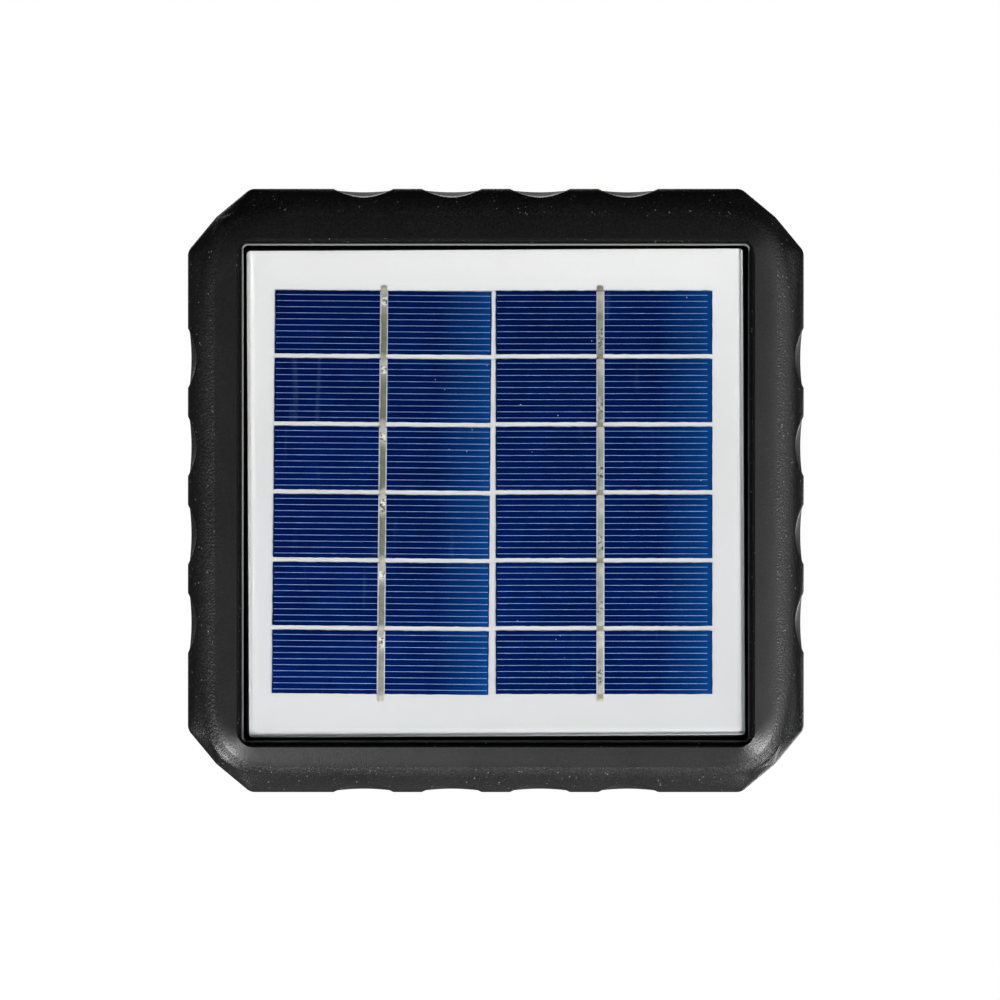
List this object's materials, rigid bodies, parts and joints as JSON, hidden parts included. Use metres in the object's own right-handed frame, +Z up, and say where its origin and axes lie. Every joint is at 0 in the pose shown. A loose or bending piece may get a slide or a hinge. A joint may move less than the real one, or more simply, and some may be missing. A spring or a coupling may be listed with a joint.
{
  "type": "fence energizer",
  "caption": "Square battery fence energizer with a solar panel set in a scalloped front frame, a post bracket behind, and fence and ground terminals below.",
  "frame": {"origin": "centre of the post face of the rear bracket", "axes": "+Y out of the post face, -Y out of the solar panel, +X to the right seen from the front, +Z up"},
  "size_m": [0.148, 0.06, 0.145],
  "materials": {
    "shell": "fine spark-eroded grain, charcoal black",
    "seal": "soft black foam rubber",
    "glass": "clear, ground edges",
    "backsheet": "white laminate",
    "silicon": "deep blue polycrystalline cell with fine printed fingers",
    "tin": "tinned copper ribbon with solder",
    "zinc": "zinc-plated steel",
    "steel": "stainless steel",
    "nickel": "nickel-plated spring steel",
    "board": "green solder mask",
    "ferrite": "sintered ferrite",
    "winding": "enamelled copper wire",
    "sleeve": "shrink sleeve",
    "black_plastic": "plain moulded plastic",
    "red_plastic": "moulded, satin",
    "green_plastic": "moulded, satin",
    "pulse_light": "tinted clear dome"
  },
  "bodies": {
    "housing": {"front_frame": "shell", "rear_housing": "shell", "housing_gasket": "seal", "panel_glass": "glass", "panel_backsheet": "backsheet", "panel_seal": "seal", "solar_cell_01": "silicon", "solar_cell_02": "silicon", "solar_cell_03": "silicon", "solar_cell_04": "silicon", "solar_cell_05": "silicon", "solar_cell_06": "silicon", "solar_cell_07": "silicon", "solar_cell_08": "silicon", "solar_cell_09": "silicon", "solar_cell_10": "silicon", "solar_cell_11": "silicon", "solar_cell_12": "silicon", "cell_ribbon_left": "tin", "cell_ribbon_right": "tin", "housing_screw_1": "zinc", "housing_screw_2": "zinc", "housing_screw_3": "zinc", "housing_screw_4": "zinc", "circuit_board": "board", "board_screw_1": "zinc", "board_screw_2": "zinc", "transformer_core": "ferrite", "transformer_coil": "winding", "storage_capacitor": "sleeve", "switching_thyristor": "black_plastic", "battery_holder": "black_plastic", "battery_cell_1": "sleeve", "battery_cell_2": "sleeve", "battery_spring_plate": "nickel", "battery_contact_plate": "nickel", "door_hinge_pin": "steel", "switch_body": "black_plastic", "pulse_led": "pulse_light", "fence_terminal_collar": "red_plastic", "fence_terminal_stud": "steel", "ground_terminal_collar": "green_plastic", "ground_terminal_stud": "steel", "mounting_bracket": "zinc", "bracket_screw_1": "zinc", "bracket_screw_2": "zinc", "bracket_screw_3": "zinc", "bracket_screw_4": "zinc", "fence_lead": "red_plastic", "ground_lead": "green_plastic", "panel_lead": "black_plastic", "battery_lead": "black_plastic"},
    "door": {"battery_door": "shell", "battery_door_seal": "seal"},
    "rocker": {"switch_rocker": "red_plastic"},
    "fence_clamp": {"fence_terminal_washer": "steel"},
    "fence_knob": {"fence_terminal_knob": "red_plastic"},
    "ground_clamp": {"ground_terminal_washer": "steel"},
    "ground_knob": {"ground_terminal_knob": "green_plastic"}
  },
  "joints": [
    {"name": "battery_door_hinge", "type": "hinge", "parent": "housing", "child": "door", "pos_m": [0, -0.0057, -0.025], "axis": [1, 0, 0], "range_deg": [0, 100]},
    {"name": "switch_rocker_tilt", "type": "hinge", "parent": "housing", "child": "rocker", "pos_m": [0, -0.023, -0.0856], "axis": [0, 1, 0], "range_deg": [0, 24]},
    {"name": "fence_clamp_slide", "type": "slide", "parent": "housing", "child": "fence_clamp", "axis": [0, 0, -1], "range_m": [0, 0.0031]},
    {"name": "fence_knob_turn", "type": "hinge", "parent": "fence_clamp", "child": "fence_knob", "pos_m": [0.036, -0.023, -0.0979], "axis": [0, 0, -1], "range_deg": [0, 1080]},
    {"name": "ground_clamp_slide", "type": "slide", "parent": "housing", "child": "ground_clamp", "axis": [0, 0, -1], "range_m": [0, 0.0031]},
    {"name": "ground_knob_turn", "type": "hinge", "parent": "ground_clamp", "child": "ground_knob", "pos_m": [-0.036, -0.023, -0.0979], "axis": [0, 0, -1], "range_deg": [0, 1080]}
  ],
  "couplings": [
    {"joint": "fence_clamp_slide", "follows": "fence_knob_turn", "m_per_rad": 0.00015915},
    {"joint": "ground_clamp_slide", "follows": "ground_knob_turn", "m_per_rad": 0.00015915}
  ]
}
